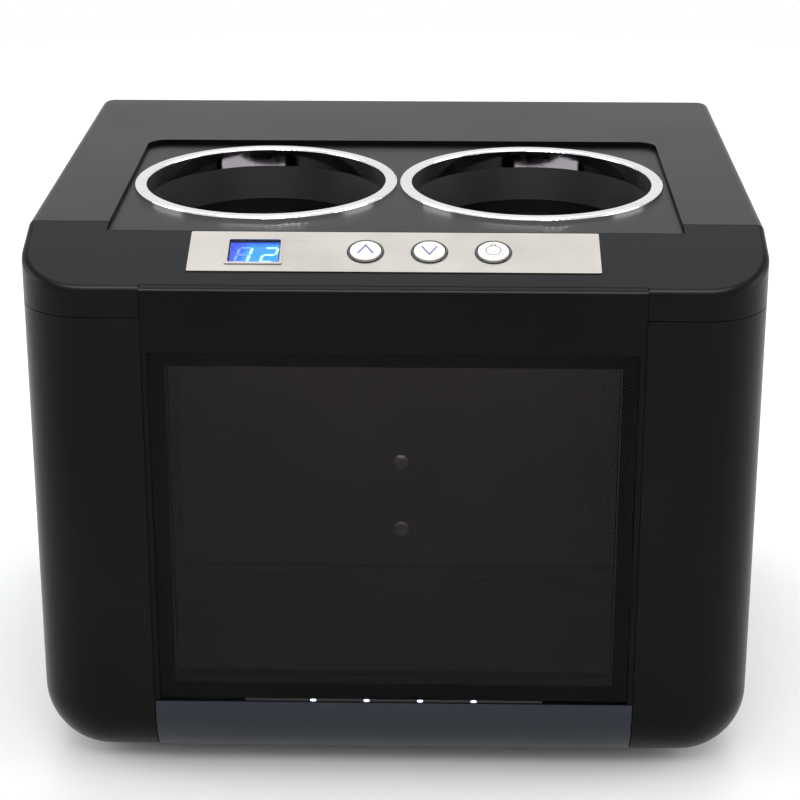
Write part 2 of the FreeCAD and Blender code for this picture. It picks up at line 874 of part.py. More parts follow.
def fan_impeller():
    # cupped hub on a shaft, with pitched blades trimmed to the duct
    start = fan_y + hub_front
    end = fan_end - hub_back
    cup = along_y(0, module_z, start, end, hub_radius)
    cup = cup.cut(along_y(0, module_z, start + hub_wall, end + over, hub_radius - hub_wall))
    shaft = along_y(0, module_z, start + over, fan_end - over - fit, shaft_radius)
    reach = along_y(0, module_z, start, end, fan_bore - blade_tip_gap)
    blades = []
    for i in range(blade_count):
        blade = block(-blade_thick / 2, blade_thick / 2, -blade_chord / 2, blade_chord / 2,
                      hub_radius - hub_wall / 2, fan_bore)
        blade.rotate(Vector(0, 0, 0), Vector(0, 0, 1), blade_pitch)
        blade.translate(Vector(0, (start + end) / 2, 0))
        blade.rotate(Vector(0, 0, 0), Vector(0, 1, 0), 360 * i / blade_count)
        blade.translate(Vector(0, 0, module_z))
        blades.append(blade.common(reach))
    return fused([cup, shaft] + blades)


def fan_gasket():
    half = fan_size / 2
    shape = block(-half, half, fan_end, rear_flange_y, module_z - half, module_z + half)
    shape = shape.cut(along_y(0, module_z, fan_end - over, rear_flange_y + over, fan_bore))
    for x, z in fan_screws:
        shape = shape.cut(along_y(x, z, fan_end - over, rear_flange_y + over, head_radius + fit))
    return shape


def fan_screw_set():
    return headed_screws(fan_screws, fan_end, fan_y + snug, fan_end + head_height)


# ---- electrics ----
def main_board():
    shape = block(-main_board_x, main_board_x, main_board_y, main_board_y + board, main_board_low,
                  main_board_high)
    rear = main_board_y + board + over
    for x, z in main_posts:
        shape = shape.cut(along_y(x, z, main_board_y - over, rear, screw_radius + touch))
    return shape


def main_board_screws():
    tip = main_board_y + board_screw_length
    return headed_screws(main_posts, main_board_y, tip, main_board_y - head_height)


def transformer():
    x, z = transformer_at
    half = transformer_size / 2
    z += main_board_low
    return soft_block(x - half, x + half, main_board_y - transformer_height, main_board_y, z - half,
                      z + half, transformer_corner, Vector(0, 1, 0))


def capacitors():
    cans = []
    for x, z, radius, length in capacitor_cans:
        end = main_board_y - length
        can = along_y(x, main_board_low + z, end, main_board_y, radius)
        cans.append(rounded(can, capacitor_edge, lambda point, edge: on_level(point.y, end) and edge.Closed))
    return Part.makeCompound(cans)


def regulator_sink():
    # plate with a row of short fins above it
    low = main_board_low + regulator_z
    front = main_board_y - regulator_height
    right = regulator_x + regulator_fins * regulator_pitch
    pieces = [block(regulator_x, right, front, main_board_y, low, low + fin_thick)]
    for i in range(regulator_fins):
        x = regulator_x + i * regulator_pitch
        pieces.append(block(x, x + fin_thick, front, main_board_y, low, low + regulator_reach))
    return fused(pieces)


def ribbon_cable():
    # flat cable from the control board over the foam and down behind it to the main board
    t = cable_thick
    step = liner_top + liner_wall
    roof = step + foam_top
    x0 = cable_x
    x1 = cable_x + cable_width
    low = main_board_high - cable_drop
    near = foam_roof_y - t
    under_board = block(cable_front_x, x1, near - cable_width, near, step, step + t)
    riser = block(x0, x1, near, foam_roof_y, step, roof + t)
    over_foam = block(x0, x1, near, foam_rear + t, roof, roof + t)
    behind = block(x0, x1, foam_rear, foam_rear + t, low, roof + t)
    across = block(cable_rear_x, x1, foam_rear, foam_rear + t, low, low + cable_width)
    end = main_board_y - socket_height
    bridge = block(cable_rear_x, cable_rear_x + cable_width, foam_rear, end, low, low + t)
    return fused([under_board, riser, over_foam, behind, across, bridge])


def cable_sockets():
    # one on the underside of the control board, one on the main board
    end = foam_roof_y - cable_thick
    lower = liner_top + liner_wall + cable_thick
    right = cable_front_x + cable_width
    pillar = block(cable_front_x, right, end - cable_width, end - over, lower, case_height)
    reach = case_width
    under = on_slope(block(-reach, reach, -reach, reach, -reach, -board_depth - board))
    low = main_board_high - cable_drop
    rear = block(cable_rear_x, cable_rear_x + cable_width, main_board_y - socket_height, main_board_y,
                 low - socket_height / 2, low + socket_height / 2)
    return Part.makeCompound([pillar.common(under), rear])


def power_inlet():
    # two-pin appliance socket in the rear cover, flanged behind it
    half = inlet_width / 2 - snug
    rise = inlet_height / 2 - snug
    face = back_y - cover_sink
    floor = face - inlet_depth
    body = block(inlet_x - half, inlet_x + half, floor - inlet_back, face, inlet_z - rise, inlet_z + rise)
    rim = block(inlet_x - half - inlet_rim, inlet_x + half + inlet_rim, rear_flange_y - inlet_rim_thick,
                rear_flange_y, inlet_z - rise - inlet_rim, inlet_z + rise + inlet_rim)
    slot_half = inlet_socket / 2
    slot_rise = inlet_slot / 2
    slot = soft_block(inlet_x - slot_half, inlet_x + slot_half, floor, face + over, inlet_z - slot_rise,
                      inlet_z + slot_rise, slot_rise - touch, Vector(0, 1, 0))
    return fused([body, rim]).cut(slot)


def inlet_pins():
    floor = back_y - cover_sink - inlet_depth
    end = floor + inlet_depth - pin_short
    return Part.makeCompound([along_y(inlet_x + side * pin_spacing / 2, inlet_z, floor, end, pin_radius)
                              for side in (-1, 1)])


# ---- feet and fasteners ----
def foot_set():
    pads = []
    for x, y in feet:
        pad = upright(x, y, 0, case_bottom, foot_radius)
        pad = rounded(pad, foot_edge, lambda point, edge: on_level(point.z, 0))
        pad = pad.cut(upright(x, y, -over, case_bottom + over, screw_radius + touch))
        pads.append(pad.cut(upright(x, y, -over, foot_recess, head_radius + fit)))
    return Part.makeCompound(pads)


def foot_screws():
    screws = []
    for x, y in feet:
        head = upright(x, y, foot_recess - head_height, foot_recess, head_radius)
        screws.append(fused([head, upright(x, y, foot_recess, case_bottom + boss_height, screw_radius)]))
    return Part.makeCompound(screws)


def case_screws():
    end = back_y - cover_sink - snug
    seat = end - head_height
    return headed_screws(shell_screws, seat, rear_flange_y - shell_boss_length + over, end)


def build():
    os.makedirs("parts", exist_ok=True)
    save("base_pan", base_pan())
    save("left_shell", side_shell(-1))
    save("right_shell", side_shell(1))
    save("lower_trim", lower_trim())
    save("rear_cover", rear_cover())
    save("top_cover", top_cover())
    save("control_housing", control_housing())
    save("deck_panel", deck_panel())
    for side, name in ((-1, "left"), (1, "right")):
        save("chrome_ring_" + name, chrome_ring(side))
        save("collar_" + name, collar(side))
    save("control_plate", control_plate())
    save("button_rings", button_rings())
    for x, name in zip(button_xs, ("up", "down", "light")):
        save(name + "_button", button(x))
    save("tact_switches", tact_switches())
    save("display_bezel", display_bezel())
    save("display_lens", display_lens())
    save("digit_module", digit_module())
    save("control_board", control_board())
    save("control_board_screws", control_board_screws())
    save("front_bezel", front_bezel())
    save("window_outer", window_pane(front_y, 0))
    save("window_gasket", window_gasket())
    save("window_inner", window_pane(inner_pane_y, pane_edge))
    save("led_lens", led_lens())
    save("led_lamps", led_lamps())
    save("led_board", led_board())
    save("inner_liner", inner_liner())
    save("insulation", insulation())
    save("floor_tray", floor_tray())
    save("cold_wall", cold_wall_sheet())
    save("cold_wall_screws", cold_wall_screws())
    save("cooling_block", cooling_block())
    save("peltier_module", peltier_module())
    save("hot_sink", hot_sink())
    save("clamp_screws", clamp_screw_set())
    save("fan_frame", fan_frame())
    save("fan_impeller", fan_impeller())
    save("fan_gasket", fan_gasket())
    save("fan_screws", fan_screw_set())
    save("main_board", main_board())
    save("main_board_screws", main_board_screws())
    save("transformer", transformer())
    save("capacitors", capacitors())
    save("regulator_sink", regulator_sink())
    save("ribbon_cable", ribbon_cable())
    save("cable_sockets", cable_sockets())
    save("power_inlet", power_inlet())
    save("inlet_pins", inlet_pins())
    save("feet", foot_set())
    save("foot_screws", foot_screws())
    save("case_screws", case_screws())


build()
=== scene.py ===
import math

import bmesh
import bpy
from mathutils import Matrix, Vector


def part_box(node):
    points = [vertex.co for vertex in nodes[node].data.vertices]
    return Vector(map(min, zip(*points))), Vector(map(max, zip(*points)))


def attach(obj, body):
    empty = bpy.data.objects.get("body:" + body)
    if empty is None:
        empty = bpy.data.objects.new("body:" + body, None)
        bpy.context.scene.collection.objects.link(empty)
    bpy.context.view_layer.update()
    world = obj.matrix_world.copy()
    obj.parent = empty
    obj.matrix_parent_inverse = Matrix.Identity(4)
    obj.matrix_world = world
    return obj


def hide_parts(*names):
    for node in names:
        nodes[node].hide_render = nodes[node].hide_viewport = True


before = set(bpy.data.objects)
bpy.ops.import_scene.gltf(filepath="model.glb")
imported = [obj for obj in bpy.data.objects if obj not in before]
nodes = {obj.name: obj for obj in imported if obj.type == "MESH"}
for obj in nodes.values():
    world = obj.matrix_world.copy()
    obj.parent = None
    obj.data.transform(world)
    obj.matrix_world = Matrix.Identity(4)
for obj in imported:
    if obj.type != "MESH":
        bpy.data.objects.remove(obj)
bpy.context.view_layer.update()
mm = 0.001
print("frame:", len(nodes), "pieces")


def linear(hexCode):
    parts = [int(hexCode[i:i + 2], 16) / 255 for i in (1, 3, 5)]
    return tuple(p / 12.92 if p <= 0.04045 else ((p + 0.055) / 1.055) ** 2.4 for p in parts) + (1.0,)


def addNode(tree, kind, settings=None, values=None, links=None):
    node = tree.nodes.new(kind)
    for name, value in (settings or {}).items():
        setattr(node, name, value)
    for socket, value in (values or {}).items():
        node.inputs[socket].default_value = value
    for socket, (source, output) in (links or {}).items():
        tree.links.new(source.outputs[output], node.inputs[socket])
    return node


# ---- finishes ----

def startFinish(name):
    material = bpy.data.materials.new(name)
    material.use_nodes = True
    material.node_tree.nodes.clear()
    return material, material.node_tree


def grainedFinish(name, look):
    # two tones that drift into each other, a grain that roughens and dents the skin
    material, tree = startFinish(name)
    place = addNode(tree, "ShaderNodeTexCoord")
    lay = addNode(tree, "ShaderNodeMapping", values={"Scale": look.get("stretch", (1, 1, 1))},
                  links={"Vector": (place, "Object")})
    drift = addNode(tree, "ShaderNodeTexNoise", values={"Scale": 1 / (look["driftMm"] * mm), "Detail": 4.0},
                    links={"Vector": (place, "Object")})
    grain = addNode(tree, "ShaderNodeTexNoise", values={"Scale": 1 / (look["grainMm"] * mm), "Detail": 2.0},
                    links={"Vector": (lay, "Vector")})
    blend = addNode(tree, "ShaderNodeMapRange", values={"From Min": 0.35, "From Max": 0.65},
                    links={"Value": (drift, "Fac")})
    tone = addNode(tree, "ShaderNodeMix", {"data_type": "RGBA"},
                   {6: linear(look["tones"][0]), 7: linear(look["tones"][1])}, {0: (blend, "Result")})
    speck = addNode(tree, "ShaderNodeMapRange",
                    values={"From Min": 0.3, "From Max": 0.7, "To Min": 1 - look["speck"], "To Max": 1 + look["speck"]},
                    links={"Value": (grain, "Fac")})
    shade = addNode(tree, "ShaderNodeHueSaturation", links={"Color": (tone, 2), "Value": (speck, "Result")})
    dull = addNode(tree, "ShaderNodeMath", {"operation": "ADD"}, links={0: (grain, "Fac"), 1: (drift, "Fac")})
    rough = addNode(tree, "ShaderNodeMapRange",
                    values={"From Min": 0.6, "From Max": 1.4, "To Min": look["rough"][0], "To Max": look["rough"][1]},
                    links={"Value": (dull, "Value")})
    dent = addNode(tree, "ShaderNodeBump", values={"Strength": 1.0, "Distance": look["dentMm"] * mm},
                   links={"Height": (grain, "Fac")})
    shader = addNode(tree, "ShaderNodeBsdfPrincipled", values=look.get("shader"),
                     links={"Base Color": (shade, "Color"), "Roughness": (rough, "Result"), "Normal": (dent, "Normal")})
    addNode(tree, "ShaderNodeOutputMaterial", links={"Surface": (shader, "BSDF")})
    parts = {"tree": tree, "place": place, "lay": lay, "tone": tone, "grain": grain, "shade": shade, "dent": dent,
             "shader": shader}
    return material, parts


grained = {
    # ABS moulded against a spark-eroded tool: charcoal, a fine matt grain that catches light at low angles
    # (the real grain is about 0.1 mm, drawn at 0.55 mm so that it shows)
    "sparkedCharcoalAbs": {
        "tones": ("#070607", "#0b0a0b"), "driftMm": 60, "grainMm": 0.55, "speck": 0.14,
        "rough": (0.27, 0.35), "dentMm": 0.01, "shader": {"IOR": 1.5, "Specular IOR Level": 0.09}},
    # the same resin from a polished tool: black, satin, with only a faint flow mark
    "satinBlackAbs": {
        "tones": ("#060506", "#080708"), "driftMm": 45, "grainMm": 0.8, "speck": 0.06,
        "rough": (0.2, 0.26), "dentMm": 0.004, "shader": {"IOR": 1.5, "Specular IOR Level": 0.08}},
    # the foot rail is the glossiest moulding: it shows the pale floor; the bluish tint of its tones and of its
    # reflection is painted, standing in for a bluish light reflected in it
    "glossBlackAbs": {
        "tones": ("#0b0d10", "#0e1013"), "driftMm": 45, "grainMm": 0.8, "speck": 0.05,
        "rough": (0.16, 0.24), "dentMm": 0.004,
        "shader": {"IOR": 1.5, "Specular IOR Level": 0.55, "Specular Tint": linear("#dcecff")}},
    # ABS plated in bright chromium: a mirror with the faint ripple of the moulding under it
    "brightChromePlate": {
        "tones": ("#dcdde0", "#e6e6e8"), "driftMm": 20, "grainMm": 3.0, "speck": 0.02,
        "rough": (0.035, 0.075), "dentMm": 0.004, "shader": {"Metallic": 1.0}},
    # EPDM rubber, compression moulded: soft, dark, powdery at low angles
    "mouldedEpdmRubber": {
        "tones": ("#080809", "#0d0d0e"), "driftMm": 18, "grainMm": 0.5, "speck": 0.14,
        "rough": (0.4, 0.56), "dentMm": 0.02, "shader": {"IOR": 1.52, "Specular IOR Level": 0.12}},
    # stainless steel, brushed along its length with a 180 grit belt: long hair lines
    # (lines of 0.05 mm, drawn at 0.3 mm)
    "brushedStainless": {
        "tones": ("#8b867f", "#958f89"), "driftMm": 30, "grainMm": 0.3, "speck": 0.05, "stretch": (0.012, 1, 1),
        "rough": (0.26, 0.4), "dentMm": 0.0035, "shader": {"Metallic": 1.0}},
    # off-white ABS key caps, satin
    "satinWhiteAbs": {
        "tones": ("#e6e4dc", "#eeece4"), "driftMm": 6, "grainMm": 0.4, "speck": 0.02,
        "rough": (0.28, 0.38), "dentMm": 0.004,
        "shader": {"IOR": 1.5, "Subsurface Weight": 0.1, "Subsurface Scale": 0.001}},
    "polishedBlackAbs": {
        "tones": ("#0c0b0b", "#100f0f"), "driftMm": 5, "grainMm": 0.5, "speck": 0.05,
        "rough": (0.14, 0.2), "dentMm": 0.002, "shader": {"IOR": 1.5}},
    # vacuum-formed polystyrene sheet: grey, drawn thin, slight orange peel
    "vacuumFormedLiner": {
        "tones": ("#1e1b1f", "#242125"), "driftMm": 35, "grainMm": 1.6, "speck": 0.05,
        "rough": (0.3, 0.42), "dentMm": 0.02, "shader": {"IOR": 1.59}},
    # polyurethane foam, poured in place
    "pouredFoam": {
        "tones": ("#d8cfae", "#cbbf98"), "driftMm": 25, "grainMm": 1.2, "speck": 0.1,
        "rough": (0.8, 0.95), "dentMm": 0.2, "shader": {}},
    # extruded aluminium, mill finish: draw lines along Z
    "extrudedAluminium": {
        "tones": ("#b9babd", "#c6c7c9"), "driftMm": 22, "grainMm": 0.5, "speck": 0.05, "stretch": (1, 1, 0.03),
        "rough": (0.3, 0.45), "dentMm": 0.006, "shader": {"Metallic": 1.0}},
    # cold plate: aluminium with a grey powder coat, slightly pebbled
    "powderCoatedPlate": {
        "tones": ("#474049", "#4f4852"), "driftMm": 40, "grainMm": 0.9, "speck": 0.05,
        "rough": (0.35, 0.5), "dentMm": 0.015, "shader": {"IOR": 1.5}},
    "firedAlumina": {
        "tones": ("#e2e1dc", "#eae9e5"), "driftMm": 8, "grainMm": 0.4, "speck": 0.03,
        "rough": (0.5, 0.65), "dentMm": 0.006, "shader": {}},
    # glass-filled nylon of switches, fan and plug socket
    "mouldedBlackNylon": {
        "tones": ("#161617", "#1c1c1d"), "driftMm": 14, "grainMm": 0.5, "speck": 0.1,
        "rough": (0.38, 0.52), "dentMm": 0.01, "shader": {"IOR": 1.53, "Specular IOR Level": 0.35}},
    "blueCapacitorSleeve": {
        "tones": ("#1f2b4c", "#243157"), "driftMm": 6, "grainMm": 0.5, "speck": 0.05,
        "rough": (0.18, 0.28), "dentMm": 0.003, "shader": {}},
    # steel screws, bright zinc
    "zincPlatedSteel": {
        "tones": ("#a5a6a9", "#b4b5b5"), "driftMm": 3, "grainMm": 0.4, "speck": 0.06,
        "rough": (0.24, 0.38), "dentMm": 0.004, "shader": {"Metallic": 1.0}},
    "closedCellFoam": {
        "tones": ("#1c1c1d", "#242425"), "driftMm": 8, "grainMm": 0.7, "speck": 0.2,
        "rough": (0.8, 0.95), "dentMm": 0.08, "shader": {"Specular IOR Level": 0.2}},
    # grey PVC ribbon: one rib for each wire, 1.27 mm apart
    "greyRibbonPvc": {
        "tones": ("#9a9a9d", "#a4a4a6"), "driftMm": 20, "grainMm": 0.6, "speck": 0.04,
        "rough": (0.35, 0.5), "dentMm": 0.01, "shader": {}},
    "tinPlatedBrass": {
        "tones": ("#cdbb86", "#d8c893"), "driftMm": 4, "grainMm": 0.4, "speck": 0.05,
        "rough": (0.18, 0.3), "dentMm": 0.003, "shader": {"Metallic": 1.0}},
    # epoxy-filled face of the display, dark blue
    "displayEpoxy": {
        "tones": ("#101a3c", "#142048"), "driftMm": 6, "grainMm": 0.5, "speck": 0.05,
        "rough": (0.3, 0.4), "dentMm": 0.003, "shader": {}},
    # fibreglass board under green solder mask
    "greenSolderMask": {
        "tones": ("#0d3a1c", "#124423"), "driftMm": 12, "grainMm": 0.6, "speck": 0.06,
        "rough": (0.25, 0.35), "dentMm": 0.004, "shader": {}},
    # yellow polyester tape wound over a ferrite core
    "tapedFerrite": {
        "tones": ("#b89a2e", "#c4a638"), "driftMm": 10, "grainMm": 0.6, "speck": 0.05,
        "rough": (0.3, 0.42), "dentMm": 0.005, "shader": {}},
}
finishes = {}
finishParts = {}
for finishName, look in grained.items():
    finishes[finishName], finishParts[finishName] = grainedFinish(finishName, look)


def clearFinish(name, look):
    # a clear or tinted moulding: light passes it on the way to a shadow, polish marks bend its gloss a little
    material, tree = startFinish(name)
    place = addNode(tree, "ShaderNodeTexCoord")
    drift = addNode(tree, "ShaderNodeTexNoise", values={"Scale": 1 / (look["driftMm"] * mm), "Detail": 3.0},
                    links={"Vector": (place, "Object")})
    rough = addNode(tree, "ShaderNodeMapRange",
                    values={"From Min": 0.35, "From Max": 0.7, "To Min": look["rough"][0], "To Max": look["rough"][1]},
                    links={"Value": (drift, "Fac")})
    dent = addNode(tree, "ShaderNodeBump", values={"Strength": 1.0, "Distance": look["dentMm"] * mm},
                   links={"Height": (drift, "Fac")})
    values = {"Base Color": linear(look["tint"]), "Transmission Weight": 1.0}
    values.update(look.get("shader", {}))
    shader = addNode(tree, "ShaderNodeBsdfPrincipled", values=values,
                     links={"Roughness": (rough, "Result"), "Normal": (dent, "Normal")})
    through = addNode(tree, "ShaderNodeBsdfTransparent", values={"Color": linear(look["shadowTint"])})
    ray = addNode(tree, "ShaderNodeLightPath")
    either = addNode(tree, "ShaderNodeMixShader",
                     links={0: (ray, "Is Shadow Ray"), 1: (shader, "BSDF"), 2: (through, "BSDF")})
    addNode(tree, "ShaderNodeOutputMaterial", links={"Surface": (either, "Shader")})
    return material


clear = {
    # cast acrylic, smoked: near black in front, a third of the light comes through
    "smokedAcrylic": {"tint": "#bab3b7", "shadowTint": "#a39da1", "driftMm": 60, "rough": (0.0, 0.012), "dentMm": 0.001,
                      "shader": {"IOR": 1.18}},
    # clear acrylic of the inner pane
    "clearAcrylic": {"tint": "#eceaec", "shadowTint": "#e0dde0", "driftMm": 80, "rough": (0.0, 0.01), "dentMm": 0.001,
                     "shader": {"IOR": 1.1}},
    # blue polycarbonate over the figures
    "bluePolycarbonate": {"tint": "#c9d6ff", "shadowTint": "#b4c4ff", "driftMm": 12, "rough": (0.0, 0.03), "dentMm": 0.002,
                          "shader": {"IOR": 1.15}},
    # light pipe over the lamps: smoked, lightly frosted
    "frostedLightPipe": {"tint": "#30343a", "shadowTint": "#30343a", "driftMm": 3, "rough": (0.1, 0.22), "dentMm": 0.002,
                         "shader": {"IOR": 1.49, "Specular IOR Level": 0.2}},
}
for finishName, look in clear.items():
    finishes[finishName] = clearFinish(finishName, look)


def glowingFinish(name, hexCode, strength):
    # a glowing face, a real lamp or lit bar, and painted glow where the unlit bars and the lamp glints wear it:
    # brighter in its middle grain, so that it isn't one even tone
    material, parts = grainedFinish(name, {
        "tones": (hexCode, hexCode), "driftMm": 2, "grainMm": 0.5, "speck": 0.04, "rough": (0.3, 0.4),
        "dentMm": 0.001, "shader": {"Emission Strength": strength}})
    tree = parts["tree"]
    tree.links.new(parts["shade"].outputs["Color"], parts["shader"].inputs["Emission Color"])
    return material


finishes["litLamp"] = glowingFinish("litLamp", "#cfe2ff", 3.0)
print("finishes:", len(finishes))

wearsFinish = {
    "sparkedCharcoalAbs": ["base_pan", "left_shell", "right_shell", "rear_cover", "top_cover", "control_housing",
                           "deck_panel"],
    "satinBlackAbs": ["front_bezel"],
    "glossBlackAbs": ["lower_trim"],
    "brightChromePlate": ["chrome_ring_left", "chrome_ring_right"],
    "mouldedEpdmRubber": ["collar_left", "collar_right", "window_gasket", "feet"],
    "brushedStainless": ["control_plate", "display_bezel"],
    "polishedBlackAbs": ["button_rings"],
    "satinWhiteAbs": ["up_button", "down_button", "light_button", "cable_sockets"],
    "mouldedBlackNylon": ["tact_switches", "fan_frame", "fan_impeller", "power_inlet"],
    "bluePolycarbonate": ["display_lens"],
    "displayEpoxy": ["digit_module"],
    "greenSolderMask": ["control_board", "led_board", "main_board"],
    "zincPlatedSteel": ["control_board_screws", "cold_wall_screws", "clamp_screws", "fan_screws",
                        "main_board_screws", "foot_screws", "case_screws"],
    "smokedAcrylic": ["window_outer"],
    "clearAcrylic": ["window_inner"],
    "frostedLightPipe": ["led_lens"],
    "litLamp": ["led_lamps"],
    "vacuumFormedLiner": ["inner_liner", "floor_tray"],
    "pouredFoam": ["insulation"],
    "powderCoatedPlate": ["cold_wall"],
    "extrudedAluminium": ["cooling_block", "hot_sink", "regulator_sink"],
    "firedAlumina": ["peltier_module"],
    "closedCellFoam": ["fan_gasket"],
    "tapedFerrite": ["transformer"],
    "blueCapacitorSleeve": ["capacitors"],
    "greyRibbonPvc": ["ribbon_cable"],
    "tinPlatedBrass": ["inlet_pins"],
}
for finishName, wearers in wearsFinish.items():
    for wearer in wearers:
        for held in nodes[wearer].material_slots:
            held.material = finishes[finishName]
print("frame dressed")


# ---- pieces on the sloping front ----

slope = {"degrees": 19.0}
slopeTurn = Matrix.Rotation(math.radians(slope["degrees"]), 4, "X")


def slopeBox(nodeName):
    # a piece's box along the slope: across, up the slope, out of it
    turned = [slopeTurn.inverted() @ v.co for v in nodes[nodeName].data.vertices]
    low = Vector([min(p[i] for p in turned) for i in range(3)])
    high = Vector([max(p[i] for p in turned) for i in range(3)])
    return low, high


def flatBar(shape, outline, low, high):
    # one prism from a flat outline
    bottom = [shape.verts.new((x, y, low)) for x, y in outline]
    top = [shape.verts.new((x, y, high)) for x, y in outline]
    shape.faces.new(bottom[::-1])
    shape.faces.new(top)
    for i in range(len(outline)):
        j = (i + 1) % len(outline)
        shape.faces.new((bottom[i], bottom[j], top[j], top[i]))


def strokes(path, width, closed=False):
    # outlines of a drawn line, one four-sided bar for each run, mitred where two runs meet
    count = len(path)
    sides = []
    for i, point in enumerate(path):
        here = Vector(point)
        before = here - Vector(path[i - 1]) if closed or i else None
        after = Vector(path[(i + 1) % count]) - here if closed or i < count - 1 else None
        before = before or after
        after = after or before
        joint = (before.normalized() + after.normalized()).normalized()
        away = Vector((-joint.y, joint.x))
        reach = width / 2 / max(0.35, away.dot(Vector((-after.y, after.x)).normalized()))
        sides.append((here - away * reach, here + away * reach))
    runs = count if closed else count - 1
    return [(sides[i][0], sides[(i + 1) % count][0], sides[(i + 1) % count][1], sides[i][1]) for i in range(runs)]


def pieceFrom(shape, name, finish, body, turn=Matrix.Identity(4)):
    # a finished mesh in its place, riding on its body
    bmesh.ops.remove_doubles(shape, verts=shape.verts, dist=1e-7)
    bmesh.ops.recalc_face_normals(shape, faces=shape.faces)
    mesh = bpy.data.meshes.new(name)
    shape.transform(turn)
    shape.to_mesh(mesh)
    shape.free()
    mesh.materials.append(finish)
    piece = bpy.data.objects.new(name, mesh)
    bpy.context.scene.collection.objects.link(piece)
    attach(piece, body)
    return piece


# glow, floor, glowReachMm, haloReachMm and halo set the painted glow of the sheet behind the figures
figures = {
    "barMm": 1.0, "heightMm": 8.9, "widthMm": 4.9, "leanMm": 1.75,
    "firstMm": 2.5, "stepMm": 10.0, "footMm": 1.55, "gapMm": 0.22,
    "lit": "#a0fbff", "litStrength": 2.2, "unlit": "#6d8dff", "unlitPaintedGlow": 0.35,
    "glow": "#00c4ff", "floor": "#0c2272", "glowReachMm": 1.5, "haloReachMm": 5.0, "halo": 0.3}
# the seven bars: a top, b upper right, c lower right, d foot, e lower left, f upper left, g middle
barEnds = {"a": ((0, 2), (1, 2)), "b": ((1, 2), (1, 1)), "c": ((1, 1), (1, 0)), "d": ((0, 0), (1, 0)),
           "e": ((0, 1), (0, 0)), "f": ((0, 2), (0, 1)), "g": ((0, 1), (1, 1))}
barsLit = ({"b", "c"}, {"a", "b", "g", "e", "d"})


def figurePoint(column, level, digit, corner):
    x = corner.x + (figures["firstMm"] + digit * figures["stepMm"] + column * figures["widthMm"]
                    + level / 2 * figures["leanMm"]) * mm
    return Vector((x, corner.y + (figures["footMm"] + level / 2 * figures["heightMm"]) * mm))


def barOutline(start, end):
    # a six-sided bar with pointed ends
    along = (end - start).normalized()
    start, end = start + along * figures["gapMm"] * mm, end - along * figures["gapMm"] * mm
    across = Vector((-along.y, along.x)) * figures["barMm"] / 2 * mm
    tip = along * figures["barMm"] / 2 * mm
    return [start, start + tip - across, end - tip - across, end, end - tip + across, start + tip + across]


def makeDisplay():
    faceLow, faceHigh = slopeBox("digit_module")
    lensLow, lensHigh = slopeBox("display_lens")
    level = faceHigh.z
    lit, unlit, litRuns = bmesh.new(), bmesh.new(), []
    for digit in (0, 1):
        for bar, (a, b) in barEnds.items():
            start, end = figurePoint(*a, digit, lensLow), figurePoint(*b, digit, lensLow)
            isLit = bar in barsLit[digit]
            if isLit:
                litRuns.append((start, end))
            if isLit or digit == 0:
                flatBar(lit if isLit else unlit, barOutline(start, end), level + 0.01 * mm, level + 0.07 * mm)
    # the unlit bars get a weak emission: a painted glow, standing in for the faint light they catch under the lens
    litFinish = glowingFinish("litBarEpoxy", figures["lit"], figures["litStrength"])
    unlitFinish = glowingFinish("unlitBarEpoxyPaintedGlow", figures["unlit"], figures["unlitPaintedGlow"])
    pieceFrom(lit, "lit_bars", litFinish, "case", slopeTurn)
    pieceFrom(unlit, "unlit_bars", unlitFinish, "case", slopeTurn)

    # a sheet behind them with painted glow: it emits over the whole display face, more near each lit bar and in a wider
    # halo around them, standing in for the spill and bloom of the lit figures
    sheet = bmesh.new()
    columns, rows, points = 66, 46, {}
    for i in range(columns + 1):
        for j in range(rows + 1):
            x = faceLow.x + (faceHigh.x - faceLow.x) * i / columns
            y = faceLow.y + (faceHigh.y - faceLow.y) * j / rows
            points[i, j] = sheet.verts.new((x, y, level + 0.004 * mm))
    for i in range(columns):
        for j in range(rows):
            sheet.faces.new((points[i, j], points[i + 1, j], points[i + 1, j + 1], points[i, j + 1]))
    near = sheet.verts.layers.float.new("paintedGlow")
    reach, wide = figures["glowReachMm"] * mm, figures["haloReachMm"] * mm
    for vert in sheet.verts:
        p, total = Vector(vert.co.xy), 0.0
        for start, end in litRuns:
            run = end - start
            t = min(1, max(0, (p - start).dot(run) / run.length_squared))
            away = (p - start - run * t).length
            total += math.exp(-(away / reach) ** 1.3) + figures["halo"] * math.exp(-(away / wide) ** 2)
        vert[near] = total
    # the sheet's emission is painted glow, not a lamp
    material, parts = grainedFinish("displayPaintedGlow", {
        "tones": (figures["floor"], "#122a80"), "driftMm": 5, "grainMm": 0.5, "speck": 0.04,
        "rough": (0.4, 0.5), "dentMm": 0.001, "shader": {"Emission Strength": 0.85}})
    tree = parts["tree"]
    spread = addNode(tree, "ShaderNodeAttribute", {"attribute_name": "paintedGlow"})
    strong = addNode(tree, "ShaderNodeMapRange", values={"From Max": 1.35}, links={"Value": (spread, "Fac")})
    glow = addNode(tree, "ShaderNodeMix", {"data_type": "RGBA"}, {7: linear(figures["glow"])},
                   {0: (strong, "Result"), 6: (parts["shade"], "Color")})
    tree.links.new(glow.outputs[2], parts["shader"].inputs["Emission Color"])
    pieceFrom(sheet, "display_diffuser", material, "case", slopeTurn)


makeDisplay()
print("display: figures and painted glow sheet")

signs = {"lineMm": 0.62, "chevronHalfMm": 3.0, "chevronHighMm": 5.2, "bulbRadiusMm": 2.9, "bulbLineMm": 0.36,
         "neckHalfMm": 0.95, "neckHighMm": 1.45, "dots": 5, "dotMm": 0.5, "dotRadiusMm": 4.1, "dotStepDegrees": 30,
         "proudMm": 0.03, "ink": "#2c3c8e", "greyInk": "#6a696b"}


